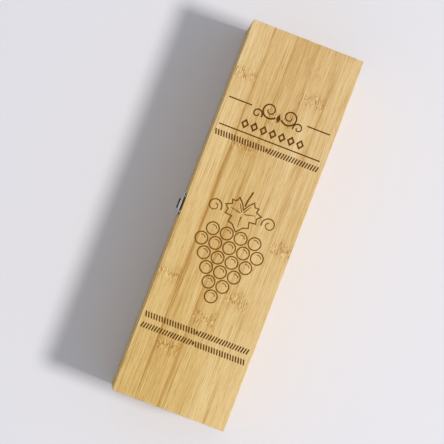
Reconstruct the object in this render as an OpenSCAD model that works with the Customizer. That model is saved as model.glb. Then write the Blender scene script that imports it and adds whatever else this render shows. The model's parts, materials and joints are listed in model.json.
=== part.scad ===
// Hinged bamboo box for one wine bottle: finger-jointed walls, a let-in base, three bottle rests,
// a flat lid on two butt hinges, and a small stamped hasp clasp in the middle of the front.
// +X runs along the box, from the neck end of the bottle to its foot. -Y is the front, with the
// clasp, and +Y the back, with the hinges. The origin is the middle of the underside.

/* [Box] */
// Outside length of the box
box_length = 355; // [345:1:380]
// Outside width of the box, without the clasp
box_width = 106; // [104:1:116]
// Outside height with the lid closed
box_height = 100; // [100:1:112]
// Thickness of the four wall boards
wall_thickness = 9; // [9:0.5:10]
// Thickness of the lid board
lid_thickness = 10; // [10:0.5:12]
// Thickness of the base panel
base_thickness = 5; // [4:0.5:6]
// How far the base panel is let into each wall
base_let_in = 4; // [2:0.5:5]
// Number of fingers over the height of each corner, long-wall fingers at top and bottom
finger_count = 9; // [5:2:11]

/* [Bottle rests] */
// Diameter of the bottle that the two body rests are cut for
bottle_diameter = 78; // [74:1:80]
// Diameter of the notch in the neck rest
neck_notch_diameter = 33; // [30:1:36]
// Thickness of each rest board
rest_thickness = 9; // [6:0.5:12]
// How deep the ends of each rest are housed in the long walls
rest_housing = 2; // [1:0.5:4]
// Place of the neck rest along the box
neck_rest_x = -115; // [-125:1:-105]
// Place of the rest under the bottle's shoulder
shoulder_rest_x = -5; // [-15:1:15]
// Place of the rest near the bottle's foot
foot_rest_x = 110; // [100:1:130]

/* [Hinges] */
// Distance between the middles of the two hinges
hinge_spacing = 224; // [190:1:260]
// Length of each hinge along the box
hinge_length = 25; // [22:1:30]
// Width of each leaf from the middle of its pin
leaf_width = 6.8; // [6.4:0.1:7]
// Thickness of the leaf sheet
leaf_thickness = 0.9; // [0.8:0.1:1]
// Outside diameter of the hinge barrel
barrel_diameter = 3; // [2.8:0.1:3]
// Diameter of the hinge pin
hinge_pin_diameter = 1.5; // [1.2:0.1:1.6]
// How far the lid swings before its bevelled back edge meets the wall's
lid_swing = 100; // [92:1:104]

/* [Clasp] */
// Width of the lid plate and of its rolled knuckles
clasp_width = 21; // [20:0.5:24]
// Width of the hasp that swings between the knuckles
hasp_width = 11.4; // [10:0.1:11.6]
// Length of the hasp from its pivot down to the lip
hasp_length = 14; // [13:0.5:15]
// Thickness of the clasp's sheet
sheet_thickness = 0.6; // [0.5:0.05:0.7]
// Outside diameter of the clasp's rolled knuckles
knuckle_diameter = 2.2; // [2.1:0.1:2.4]
// Diameter of the clasp pin
clasp_pin_diameter = 1; // [0.8:0.1:1]

/* [Engraving] */
// Depth of the engraving in the lid
engraving_depth = 0.4; // [0.2:0.1:0.6]
// Width of the drawn lines
line_width = 1.2; // [0.8:0.1:1.4]
// Radius of one grape, to the outside of its line
grape_radius = 6.3; // [5.8:0.1:6.5]
// Distance between the middles of neighbouring grapes
grape_pitch = 13.3; // [13.2:0.1:14]

/* [Hidden] */
$fn = 64;

// Colours, and how far a cut is drawn past the surface it cuts
bamboo = "burlywood";
bamboo_light = "wheat";
nickel = "silver";
steel = "gainsboro";
past = 1;

// Box
half_length = box_length / 2;
half_width = box_width / 2;
inner_half_width = half_width - wall_thickness;
wall_height = box_height - lid_thickness;
finger_height = wall_height / finger_count;

// Bottle rests, each as its place along the box and the height of its top
body_rest_drop = 12.5;
bottle_axis_height = (base_thickness + wall_height) / 2;
body_rest_top = bottle_axis_height - body_rest_drop;
rests = [
    [neck_rest_x, bottle_axis_height],
    [shoulder_rest_x, body_rest_top],
    [foot_rest_x, body_rest_top]
];

// Hinges
barrel_radius = barrel_diameter / 2;
barrel_clearance = 0.25;
leaf_clearance = 0.15;
hinge_inset = 1.6;
hinge_axis_y = half_width - hinge_inset;
bevel_gap = 0.5;
bevel_angle = (lid_swing + bevel_gap) / 2;
leaf_edge = barrel_radius + leaf_clearance;
knuckle_count = 5;
knuckle_length = hinge_length / knuckle_count;
knuckle_gap = 0.2;
root_overlap = 0.5;
running_clearance = 0.05;
hinge_pin_radius = hinge_pin_diameter / 2;
pin_dome = hinge_pin_radius / 2;
screw_inset = (leaf_edge + leaf_width) / 2;
screw_spread = hinge_length * 0.6;
screw_head_radius = 1.7;
screw_shank_radius = 0.9;
screw_shank_length = 5.5;
screw_tip_length = 1.5;
screw_head_drop = 0.05;
cross_recess = [2, 0.45, 0.5];

// Clasp: distances out from the front wall and up from the joint under the lid
knuckle_radius = knuckle_diameter / 2;
hasp_gap = 0.2;
pivot_out = knuckle_radius + hasp_gap;
pivot_up = 1.8;
plate_top = lid_thickness - 1;
plate_corner = 2;
corner_steps = 6;
hasp_outer = pivot_out + knuckle_radius;
hasp_inner = hasp_outer - sheet_thickness;
hasp_bottom = pivot_up - hasp_length;
lip_radius = 1.4;
lip_reach = 1;
lip_corner = 2.4;
catch_width = 19;
catch_top = -1;
catch_bottom = hasp_bottom - 1.6;
nose_width = 5;
nose_top = -4.4;
nose_bottom = -8;
nose_hook = 0.9;
nose_out = hasp_outer + nose_hook;
window_play = 0.4;
nail_head_radius = 1.3;
nail_head_height = 0.6;
nail_shank_radius = 0.5;
nail_length = 7;
nail_point = 1;
lid_nail_x = 7.4;
lid_nail_up = 6.6;
catch_nail_up = -7;
catch_nail_x = 7.6;
pin_head_radius = 0.75;
pin_head_length = 0.4;

// Engraving: places in the plane of the lid, and the sizes of its motifs
engraving_across = -0.8;
heading_rule_length = 22;
heading_rule_end = 48.5;
heading_rule_up = 104.7;
full_rule_up = 79.1;
lozenge_count = 7;
lozenge_pitch = 8.8;
lozenge_size = [7.6, 9.4];
lozenge_line = 2;
lozenge_up = 86.8;
heading_band_up = 71.4;
foot_bands_up = [-103.4, -113.4];
band_height = 5.2;
band_pitch = 2.55;
band_half_count = 19;
band_bar = 1.3;
band_lean = 1.4;
bunch_top = -11;
bunch_rows = [4, 5, 4, 3, 2, 1];
shine_radius = 3.3;
shine_line = 0.8;
leaf_up = 10;
leaf_half = [
    [0, 4], [3.2, 9.5], [7, 13.4], [8.8, 9.6], [12.6, 9.6], [11.6, 6], [17, 3.6],
    [13.6, 0.4], [14.6, -4], [8.4, -4.6], [9.6, -10], [5, -11.4], [0, -17]
];
leaf_line = 1.2;
vein_tips = [[0, -12.5], [11.5, 2.6], [-11.5, 2.6], [5, 8.6], [-5, 8.6]];
vein_start = 0.18;
vein_line = 1.1;
stalk = [[0, 7.2], [0.6, 13], [2.6, 22]];
stalk_line = 1.6;
tendril_middle = [26, 9];

// A block between two opposite corners
module block(low, high) {
    translate(low) cube(high - low);
}

// A round bar along X, from x0 to x1
module bar_x(radius, x0, x1) {
    translate([x0, 0, 0]) rotate([0, 90, 0]) cylinder(r = radius, h = x1 - x0);
}

// Children copied to both sides of the middle plane X = 0
module both_sides() {
    children();
    mirror([1, 0, 0]) children();
}

// ---------------------------------------------------------------- wood

// The space that the base panel fills
module base_space() {
    reach = base_let_in - wall_thickness;
    block(
        [-half_length - reach, -half_width - reach, 0],
        [half_length + reach, half_width + reach, base_thickness]
    );
}

// The same space, open downwards, to cut the rebate in the walls
module base_rebate() {
    reach = base_let_in - wall_thickness;
    block(
        [-half_length - reach, -half_width - reach, -past],
        [half_length + reach, half_width + reach, base_thickness]
    );
}

// The uncut board of one bottle rest, housed in both long walls
module rest_board(rest) {
    end = inner_half_width + rest_housing;
    block(
        [rest[0] - rest_thickness / 2, -end, base_thickness],
        [rest[0] + rest_thickness / 2, end, rest[1]]
    );
}

// One bottle rest: its board with a round notch for the glass
module rest(rest, notch_diameter) {
    color(bamboo_light) difference() {
        rest_board(rest);
        translate([rest[0], 0, bottle_axis_height])
            bar_x(notch_diameter / 2, -rest_thickness, rest_thickness);
    }
}

// Blocks over every second finger of a corner, between low and high; first = 0 starts at the bottom
module finger_slots(first, low, high) {
    for (i = [first : 2 : finger_count - 1])
        block(
            [low.x, low.y, i * finger_height - (i == 0 ? past : 0)],
            [high.x, high.y, (i + 1) * finger_height + (i == finger_count - 1 ? past : 0)]
        );
}

// A long wall board on the +Y side, with its corner fingers, base rebate and rest housings
module long_wall() {
    difference() {
        block([-half_length, inner_half_width, 0], [half_length, half_width, wall_height]);
        both_sides() finger_slots(
            1,
            [half_length - wall_thickness, inner_half_width - past],
            [half_length + past, half_width + past]
        );
        base_rebate();
        for (rest = rests) rest_board(rest);
    }
}

// The front wall, with the holes for the catch's nails
module front_wall() {
    color(bamboo) difference() {
        mirror([0, 1, 0]) long_wall();
        catch_nail_places() nail_hole();
    }
}

// The rear wall, bevelled and let in for the hinges
module rear_wall() {
    color(bamboo) difference() {
        long_wall();
        at_pin_line() back_bevel();
        hinge_places() {
            leaf_mortise();
            screw_places() screw_shank();
        }
    }
}

// An end wall board on the +X side, with the fingers that fill the long walls' slots
module end_wall() {
    difference() {
        block([half_length - wall_thickness, -half_width, 0], [half_length, half_width, wall_height]);
        for (side = [0, 1]) mirror([0, side, 0]) finger_slots(
            0,
            [half_length - wall_thickness - past, inner_half_width],
            [half_length + past, half_width + past]
        );
        base_rebate();
    }
}

module right_end_wall() {
    color(bamboo) end_wall();
}

module left_end_wall() {
    color(bamboo) mirror([1, 0, 0]) end_wall();
}

// The base panel, let in flush from below
module base_panel() {
    color(bamboo_light) base_space();
}

// The lid board with its engraving, bevelled and let in for the hinges like the wall below it
module lid_panel() {
    color(bamboo) difference() {
        block([-half_length, -half_width, wall_height], [half_length, half_width, box_height]);
        at_pin_line() lid_side() back_bevel();
        hinge_places() {
            lid_side() leaf_mortise();
            lid_side() screw_places() screw_shank();
        }
        lid_nail_places() nail_hole();
        translate([0, engraving_across, box_height - engraving_depth]) rotate(90)
            linear_extrude(engraving_depth + past) engraving();
    }
}

// ---------------------------------------------------------------- hinges

// Children with their origin on the line of the hinge pins, in the joint of lid and walls
module at_pin_line() {
    translate([0, hinge_axis_y, wall_height]) children();
}

// Children at the left hinge (side = -1) or the right one (side = 1)
module at_hinge(side) {
    at_pin_line() translate([side * hinge_spacing / 2, 0, 0]) children();
}

// Children at both hinges
module hinge_places() {
    for (side = [-1, 1]) at_hinge(side) children();
}

// Children turned over about the joint: what is drawn for the wall then fits the lid
module lid_side() {
    mirror([0, 0, 1]) children();
}

// The bevel along the wall's top back edge; it starts at the hinge pin's line and lets the lid swing
module back_bevel() {
    reach = hinge_inset + past;
    translate([-half_length - past, 0, 0]) rotate([90, 0, 90])
        linear_extrude(box_length + 2 * past)
            polygon([[0, 0], [reach, -reach * tan(bevel_angle)], [reach, past], [0, past]]);
}

// The recess that lets one leaf and its half of the barrel lie in the wood
module leaf_mortise() {
    block([-hinge_length / 2, -leaf_width, -leaf_thickness], [hinge_length / 2, 0, past]);
    bar_x(barrel_radius + barrel_clearance, -hinge_length / 2 - pin_dome - barrel_clearance,
        hinge_length / 2 + pin_dome + barrel_clearance);
}

// Children at the two screws of one leaf, with the joint face as their top
module screw_places() {
    for (side = [-1, 1])
        translate([side * screw_spread / 2, -screw_inset, 0]) children();
}

module screw_head() {
    translate([0, 0, -leaf_thickness]) cylinder(
        r1 = screw_shank_radius,
        r2 = screw_head_radius,
        h = leaf_thickness - screw_head_drop
    );
}

module screw_shank() {
    translate([0, 0, -leaf_thickness - screw_shank_length])
        cylinder(r = screw_shank_radius, h = screw_shank_length);
    translate([0, 0, -leaf_thickness - screw_shank_length - screw_tip_length])
        cylinder(r1 = 0, r2 = screw_shank_radius, h = screw_tip_length);
}

// A small countersunk wood screw with a cross recess, its head just under the joint face
module screw() {
    color(steel) difference() {
        union() {
            screw_head();
            screw_shank();
        }
        for (turn = [0, 90]) rotate(turn) translate([0, 0, -screw_head_drop])
            cube([cross_recess.x, cross_recess.y, 2 * cross_recess.z], center = true);
    }
}

// One leaf under the joint face: sheet, rolled knuckles, and countersunk screw holes
module hinge_leaf(first_knuckle, bore_radius) {
    color(nickel) difference() {
        union() {
            block(
                [-hinge_length / 2, -leaf_width, -leaf_thickness],
                [hinge_length / 2, -leaf_edge, 0]
            );
            for (i = [first_knuckle : 2 : knuckle_count - 1]) {
                x0 = i * knuckle_length - hinge_length / 2 + knuckle_gap / 2;
                x1 = x0 + knuckle_length - knuckle_gap;
                bar_x(barrel_radius, x0, x1);
                block([x0, -leaf_edge - root_overlap, -leaf_thickness], [x1, 0, 0]);
            }
        }
        bar_x(bore_radius, -hinge_length, hinge_length);
        screw_places() {
            translate([0, 0, -leaf_thickness - past]) cylinder(r = screw_shank_radius, h = 2 * past);
            screw_head();
            translate([0, 0, -screw_head_drop]) cylinder(r = screw_head_radius, h = past);
        }
    }
}

// The hinge pin, peened to a low dome at each end
module hinge_pin() {
    color(steel) {
        bar_x(hinge_pin_radius, -hinge_length / 2, hinge_length / 2);
        both_sides() translate([hinge_length / 2, 0, 0]) rotate([0, 90, 0])
            cylinder(r1 = hinge_pin_radius, r2 = hinge_pin_radius - pin_dome, h = pin_dome);
    }
}

module hinge_left_body_leaf() {
    at_hinge(-1) hinge_leaf(0, hinge_pin_radius);
}

module hinge_right_body_leaf() {
    at_hinge(1) hinge_leaf(0, hinge_pin_radius);
}

module hinge_left_lid_leaf() {
    at_hinge(-1) lid_side() hinge_leaf(1, hinge_pin_radius + running_clearance);
}

module hinge_right_lid_leaf() {
    at_hinge(1) lid_side() hinge_leaf(1, hinge_pin_radius + running_clearance);
}

module hinge_left_pin() {
    at_hinge(-1) hinge_pin();
}

module hinge_right_pin() {
    at_hinge(1) hinge_pin();
}

module hinge_body_screws() {
    hinge_places() screw_places() screw();
}

module hinge_lid_screws() {
    hinge_places() lid_side() screw_places() screw();
}

// ---------------------------------------------------------------- clasp

// Children with their origin on the front face at the lid's joint; -Y is outwards
module at_clasp() {
    translate([0, -half_width, wall_height]) children();
}

// Children with the clasp's pivot as their origin
module at_pivot() {
    at_clasp() translate([0, -pivot_out, pivot_up]) children();
}

module lid_nail_places() {
    at_clasp() both_sides() translate([lid_nail_x, 0, lid_nail_up]) children();
}

module catch_nail_places() {
    at_clasp() both_sides() translate([catch_nail_x, 0, catch_nail_up]) children();
}

// The nail's shank and point, starting at a distance out from the wood
module nail_shank(start = sheet_thickness) {
    rotate([-90, 0, 0]) {
        translate([0, 0, -start]) cylinder(r = nail_shank_radius, h = start + nail_length - nail_point);
        translate([0, 0, nail_length - nail_point])
            cylinder(r1 = nail_shank_radius, r2 = 0, h = nail_point);
    }
}

// The nail's hole, open outwards
module nail_hole() {
    nail_shank(sheet_thickness + past);
}

// A round-headed nail whose head seats on the clasp's sheet
module nail() {
    cap_radius = (pow(nail_head_radius, 2) + pow(nail_head_height, 2)) / (2 * nail_head_height);
    color(steel) {
        nail_shank();
        translate([0, -sheet_thickness, 0]) intersection() {
            translate([0, cap_radius - nail_head_height, 0]) sphere(r = cap_radius);
            rotate([90, 0, 0]) cylinder(r = nail_head_radius, h = nail_head_height);
        }
    }
}

// Points of a quarter circle about a corner's middle, from the angle start
function corner(middle, radius, start) =
    [for (step = [0 : corner_steps]) middle + polar(radius, start + step * 90 / corner_steps)];

// Outline of a sheet seen from the front, with round corners of its own size at the foot and the top
function sheet_outline(half, low, high, foot_radius, top_radius) = concat(
    corner([half - top_radius, high - top_radius], top_radius, 0),
    corner([-half + top_radius, high - top_radius], top_radius, 90),
    corner([-half + foot_radius, low + foot_radius], foot_radius, 180),
    corner([half - foot_radius, low + foot_radius], foot_radius, 270)
);

// A sheet with that outline, from one distance out from the wood to another
module sheet(outline, near = 0, far = sheet_thickness) {
    translate([0, -near, 0]) rotate([90, 0, 0]) linear_extrude(far - near) polygon(outline);
}

// The plate nailed to the lid's edge, with a rolled knuckle on each side of the hasp
module clasp_lid_plate() {
    slot_half = hasp_width / 2 + hasp_gap;
    color(nickel) difference() {
        union() {
            at_clasp() sheet(sheet_outline(clasp_width / 2, pivot_up, plate_top, 0.2, plate_corner));
            at_pivot() both_sides() bar_x(knuckle_radius, slot_half, clasp_width / 2);
        }
        at_clasp() block(
            [-slot_half, -hasp_outer - past, pivot_up - past],
            [slot_half, past, pivot_up + knuckle_radius + hasp_gap]
        );
        at_pivot() bar_x(clasp_pin_diameter / 2, -clasp_width, clasp_width);
        lid_nail_places() nail_hole();
    }
}

// The swinging hasp: rolled knuckle, flat tongue with a window, and a lip for the finger
module clasp_hasp() {
    half = hasp_width / 2;
    lip_bottom = hasp_bottom - lip_radius - sheet_thickness;
    color(nickel) difference() {
        intersection() {
            union() {
                at_pivot() bar_x(knuckle_radius, -half, half);
                at_clasp() block([-half, -hasp_outer, hasp_bottom], [half, -hasp_inner, pivot_up]);
                at_clasp() translate([0, -hasp_outer - lip_radius, hasp_bottom]) hasp_lip(half);
            }
            at_clasp() sheet(
                sheet_outline(half, lip_bottom, pivot_up + knuckle_diameter, lip_corner, 0.2),
                near = -past,
                far = hasp_outer + lip_radius + lip_reach + past
            );
        }
        at_pivot() bar_x(clasp_pin_diameter / 2 + running_clearance, -clasp_width, clasp_width);
        at_clasp() block(
            [-nose_width / 2 - window_play, -hasp_outer - past, nose_bottom - window_play],
            [nose_width / 2 + window_play, -hasp_inner + past, nose_top + window_play]
        );
    }
}

// A quarter turn of the sheet away from the wood, with a short flat end
module hasp_lip(half) {
    outer = lip_radius + sheet_thickness;
    difference() {
        intersection() {
            bar_x(outer, -half, half);
            block([-half, 0, -outer], [half, outer, 0]);
        }
        bar_x(lip_radius, -half - past, half + past);
    }
    block([-half, -lip_reach, -outer], [half, 0, -lip_radius]);
}

// The pin through the clasp's knuckles, headed at both ends
module clasp_pin() {
    end = clasp_width / 2;
    color(steel) at_pivot() {
        bar_x(clasp_pin_diameter / 2, -end, end);
        both_sides() bar_x(pin_head_radius, end, end + pin_head_length);
    }
}

// The catch on the front wall: a nailed plate with a wedge nose that fills the hasp's window
module clasp_catch_plate() {
    root = -sheet_thickness / 2;
    nose = [
        [root, nose_top],
        [-hasp_outer, nose_top - 0.7],
        [-nose_out, nose_top - 1.6],
        [-nose_out, nose_bottom + 0.5],
        [-nose_out + 0.5, nose_bottom],
        [root, nose_bottom]
    ];
    color(nickel) difference() {
        at_clasp() {
            sheet(sheet_outline(catch_width / 2, catch_bottom, catch_top, plate_corner, 0.8));
            translate([-nose_width / 2, 0, 0]) rotate([90, 0, 90])
                linear_extrude(nose_width) polygon(nose);
        }
        catch_nail_places() nail_hole();
    }
}

module clasp_lid_nails() {
    lid_nail_places() nail();
}

module clasp_catch_nails() {
    catch_nail_places() nail();
}

// ---------------------------------------------------------------- engraving

// The drawing is in the plane of the lid: x to the right and y up, with the clasp on the left
function unit(v) = v / norm(v);
function reversed(list) = [for (i = [len(list) - 1 : -1 : 0]) list[i]];
function left_of(direction) = [-direction.y, direction.x];
function polar(radius, angle) = radius * [cos(angle), sin(angle)];

// One side of a band along the curve at(t) for t from 0 to 1, the width going from w0 to w1
function band_side(at, steps, w0, w1, side) = [
    for (i = [0 : steps])
        let (t = i / steps)
        at(t) + side * (w0 + (w1 - w0) * t) / 2 * left_of(unit(at(t + 0.001) - at(t - 0.001)))
];

module band(at, steps, w0, w1) {
    polygon(concat(
        band_side(at, steps, w0, w1, 1),
        reversed(band_side(at, steps, w0, w1, -1))
    ));
}

// A straight line of the drawing from p to q
module line(p, q, width = line_width) {
    band(function (t) p + (q - p) * t, 1, width, width);
}

// A spiral that starts at an angle on radius r0 and winds through the turn to radius r1
module volute(centre, r0, r1, start, turn, w0 = line_width, w1 = line_width) {
    steps = ceil(abs(turn) / 15);
    band(function (t) centre + polar(r0 + (r1 - r0) * t, start + turn * t), steps, w0, w1);
}

module lozenge(size) {
    polygon([[size.x / 2, 0], [0, size.y / 2], [-size.x / 2, 0], [0, -size.y / 2]]);
}

module hollow_lozenge(size, wall) {
    inner = (min(size.x, size.y) - 2 * wall) / min(size.x, size.y);
    difference() {
        lozenge(size);
        lozenge(size * inner);
    }
}

// Scrolls to the left and right of a small lozenge, between two short rules
module heading_scrolls() {
    translate([0, heading_rule_up]) both_sides() {
        line([heading_rule_end - heading_rule_length, 0], [heading_rule_end, 0]);
        volute([9.4, 1.4], 8, 1.8, 215, 520, 1.7, 0.9);
        volute([19.6, -5.2], 4.9, 1.4, 205, -400, 1.5, 0.9);
    }
    translate([0, heading_rule_up - 3]) lozenge([4.2, 9]);
}

// Leaning bars on both sides of a lozenge; lean = -1 turns them over
module leaning_bars(lean) {
    lozenge([band_height / 2, band_height]);
    both_sides() for (i = [1 : band_half_count]) translate([i * band_pitch, 0])
        line([-band_lean / 2, -lean * band_height / 2], [band_lean / 2, lean * band_height / 2], band_bar);
}

// One grape: a ring with a short line of shine
module grape() {
    difference() {
        circle(r = grape_radius);
        circle(r = grape_radius - line_width);
    }
    volute([0, 0], shine_radius, shine_radius, 15, 100, shine_line, shine_line);
}

module bunch() {
    row_drop = grape_pitch * sin(60);
    for (row = [0 : len(bunch_rows) - 1])
        for (i = [0 : bunch_rows[row] - 1])
            translate([
                (i - (bunch_rows[row] - 1) / 2) * grape_pitch,
                bunch_top - row * row_drop
            ]) grape();
}

// Offset of a drawn line's edge at b, on its way from a to c, with a mitred corner
function mitre(a, b, c, offset) =
    let (m = left_of(unit(b - a)), n = left_of(unit(c - b))) offset * (m + n) / (1 + m * n);

// One edge of a line through points; the ends are square
function line_edge(points, offset) = [
    for (i = [0 : len(points) - 1])
        let (
            b = points[i],
            a = i > 0 ? points[i - 1] : 2 * b - points[1],
            c = i < len(points) - 1 ? points[i + 1] : 2 * b - points[i - 1]
        )
        b + mitre(a, b, c, offset)
];

// One edge of a closed line through points
function loop_edge(points, offset) = [
    for (i = [0 : len(points) - 1])
        let (a = points[(i + len(points) - 1) % len(points)], c = points[(i + 1) % len(points)])
        points[i] + mitre(a, points[i], c, offset)
];

// A line of the drawing through several points
module path(points, width) {
    polygon(concat(line_edge(points, width / 2), reversed(line_edge(points, -width / 2))));
}

// A vine leaf with its veins, hanging from a stalk that bends to the right
module vine_leaf() {
    left_half = [for (i = [len(leaf_half) - 2 : -1 : 1]) [-leaf_half[i].x, leaf_half[i].y]];
    outline = concat(leaf_half, left_half);
    difference() {
        polygon(loop_edge(outline, leaf_line / 2));
        polygon(loop_edge(outline, -leaf_line / 2));
    }
    for (tip = vein_tips)
        band(function (t) tip * (vein_start + (1 - vein_start) * t), 1, vein_line, vein_line / 2);
    path(stalk, stalk_line);
}

// A bunch of grapes under a vine leaf, with a stalk and two tendrils
module vine() {
    bunch();
    translate([0, leaf_up]) vine_leaf();
    both_sides() volute(tendril_middle, 7, 2, 200, -460, 1.3, 0.8);
}

module engraving() {
    heading_scrolls();
    for (i = [0 : lozenge_count - 1])
        translate([(i - (lozenge_count - 1) / 2) * lozenge_pitch, lozenge_up])
            hollow_lozenge(lozenge_size, lozenge_line);
    line([-heading_rule_end, full_rule_up], [heading_rule_end, full_rule_up]);
    translate([0, heading_band_up]) leaning_bars(1);
    vine();
    for (i = [0, 1]) translate([0, foot_bands_up[i]]) leaning_bars(1 - 2 * i);
}

// ---------------------------------------------------------------- assembly

module neck_rest() {
    rest(rests[0], neck_notch_diameter);
}

module shoulder_rest() {
    rest(rests[1], bottle_diameter);
}

module foot_rest() {
    rest(rests[2], bottle_diameter);
}

base_panel();
front_wall();
rear_wall();
left_end_wall();
right_end_wall();
neck_rest();
shoulder_rest();
foot_rest();
lid_panel();
hinge_left_body_leaf();
hinge_left_lid_leaf();
hinge_left_pin();
hinge_right_body_leaf();
hinge_right_lid_leaf();
hinge_right_pin();
hinge_body_screws();
hinge_lid_screws();
clasp_lid_plate();
clasp_lid_nails();
clasp_pin();
clasp_hasp();
clasp_catch_plate();
clasp_catch_nails();
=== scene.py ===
"""The looks of a hinged bamboo bottle box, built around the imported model.

The box stands on its base, with +X along it, the clasp on the -Y side, the hinges on the +Y side and +Z up.
Sizes are written in millimetres and become metres where a mesh, a lamp or the camera is made.
"""

from __future__ import annotations

import json
import logging
import math
from collections.abc import Mapping, Sequence
from dataclasses import dataclass, field
from enum import Enum
from typing import NamedTuple

import bmesh
import bpy
from mathutils import Matrix, Vector

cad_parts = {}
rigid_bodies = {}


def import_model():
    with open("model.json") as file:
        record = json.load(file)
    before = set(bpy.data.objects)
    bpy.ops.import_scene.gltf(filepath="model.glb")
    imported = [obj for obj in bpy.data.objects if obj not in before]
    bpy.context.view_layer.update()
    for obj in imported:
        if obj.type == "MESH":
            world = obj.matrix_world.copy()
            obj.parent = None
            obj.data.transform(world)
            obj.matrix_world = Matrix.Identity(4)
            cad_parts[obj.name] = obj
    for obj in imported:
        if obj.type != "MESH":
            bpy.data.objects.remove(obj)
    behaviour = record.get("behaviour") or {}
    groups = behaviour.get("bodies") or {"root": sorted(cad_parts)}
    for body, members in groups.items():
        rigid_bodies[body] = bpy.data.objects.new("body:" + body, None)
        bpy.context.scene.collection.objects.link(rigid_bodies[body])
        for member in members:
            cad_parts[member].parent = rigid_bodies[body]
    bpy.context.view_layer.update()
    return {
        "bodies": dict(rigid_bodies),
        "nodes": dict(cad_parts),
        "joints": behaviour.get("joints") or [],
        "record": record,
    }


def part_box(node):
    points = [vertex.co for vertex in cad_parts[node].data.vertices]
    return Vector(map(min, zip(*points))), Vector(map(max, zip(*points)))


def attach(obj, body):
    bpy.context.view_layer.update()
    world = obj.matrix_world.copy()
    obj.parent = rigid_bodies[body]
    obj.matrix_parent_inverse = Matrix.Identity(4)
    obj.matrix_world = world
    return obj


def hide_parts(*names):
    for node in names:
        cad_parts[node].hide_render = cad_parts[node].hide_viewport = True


LOG = logging.getLogger("bottle_box")

# One millimetre, in metres.
MM = 0.001
# The longest edge that counts as no edge at all, in metres.
NO_EDGE = 0.001 * MM
# How far a corner may be from a cutting plane and still lie on it, in metres.
ON_PLANE = 1e-7
# How near a corner may be to the core of a rounded block and still lie on it, in metres.
ON_CORE = 1e-8

# Angles between two faces, in degrees: up to the first they count as one flat face, over the second their
# edge is worth breaking, and over the third it stays crisp.
FLAT_ANGLE = 0.5
EDGE_ANGLE = 30
CREASE_ANGLE = 38

# A ramp holds values from 0 to 1. Where a number can be negative, this one stands for 0.
RAMP_ZERO = 0.5
# A ring's place is held as a share of this length, in millimetres.
LONGEST_RING = 255

Colour = tuple[float, float, float]
Point = tuple[float, float, float]
Span = tuple[float, float]
Stops = Sequence[tuple[float, Sequence[float]]]


def srgb(red: float, green: float, blue: float) -> Colour:
    """Turn a colour written from 0 to 255 into linear light.

    Args:
        red: Red as a screen shows it.
        green: Green as a screen shows it.
        blue: Blue as a screen shows it.

    Returns:
        The same colour in linear light, from 0 to 1.
    """

    def linear(value: float) -> float:
        """Turn one channel into linear light."""
        share = value / 255
        return share / 12.92 if share <= 0.04045 else ((share + 0.055) / 1.055) ** 2.4

    return linear(red), linear(green), linear(blue)


# ---------------------------------------------------------------- shader trees


class Wire:
    """An output of a shader node. Arithmetic on it adds Math nodes to its tree."""

    def __init__(self, tree: ShaderTree, socket: bpy.types.NodeSocket) -> None:
        """Hold a node's output and the tree it belongs to."""
        self.tree = tree
        self.socket = socket

    def maths(self, operation: str, *values: Wire | float) -> Wire:
        """Add a Math node.

        Args:
            operation: The Math node's operation.
            values: Its inputs, in order.

        Returns:
            The node's output.
        """
        return self.tree.node("ShaderNodeMath", {"operation": operation}, dict(enumerate(values)))

    def __add__(self, other: Wire | float) -> Wire:
        """Add."""
        return self.maths("ADD", self, other)

    def __radd__(self, other: Wire | float) -> Wire:
        """Add, with the wire on the right."""
        return self.maths("ADD", other, self)

    def __sub__(self, other: Wire | float) -> Wire:
        """Subtract."""
        return self.maths("SUBTRACT", self, other)

    def __rsub__(self, other: Wire | float) -> Wire:
        """Subtract the wire from a number."""
        return self.maths("SUBTRACT", other, self)

    def __mul__(self, other: Wire | float) -> Wire:
        """Multiply."""
        return self.maths("MULTIPLY", self, other)

    def __rmul__(self, other: Wire | float) -> Wire:
        """Multiply, with the wire on the right."""
        return self.maths("MULTIPLY", other, self)

    def __truediv__(self, other: Wire | float) -> Wire:
        """Divide."""
        return self.maths("DIVIDE", self, other)

    def __rtruediv__(self, other: Wire | float) -> Wire:
        """Divide a number by the wire."""
        return self.maths("DIVIDE", other, self)

    def __mod__(self, other: Wire | float) -> Wire:
        """Take what is left after whole steps, never negative."""
        return self.maths("FLOORED_MODULO", self, other)

    def __rmod__(self, other: Wire | float) -> Wire:
        """Take what is left of a number after whole steps of the wire."""
        return self.maths("FLOORED_MODULO", other, self)

    def __abs__(self) -> Wire:
        """Drop the sign."""
        return self.maths("ABSOLUTE", self)

    def __floor__(self) -> Wire:
        """Round down."""
        return self.maths("FLOOR", self)

    def at_most(self, other: Wire | float) -> Wire:
        """Take the smaller of the two."""
        return self.maths("MINIMUM", self, other)

    def at_least(self, other: Wire | float) -> Wire:
        """Take the larger of the two."""
        return self.maths("MAXIMUM", self, other)

    def ramp_up(self, low: float, high: float) -> Wire:
        """Rise smoothly from 0 at low to 1 at high.

        Args:
            low: The value at which the result is still 0.
            high: The value from which the result is 1. It may be below low, for a fall.

        Returns:
            The smooth step.
        """
        if high < low:
            return 1 - self.ramp_up(high, low)
        settings = {"interpolation_type": "SMOOTHSTEP"}
        return self.tree.node("ShaderNodeMapRange", settings, {0: self, 1: low, 2: high})


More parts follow.
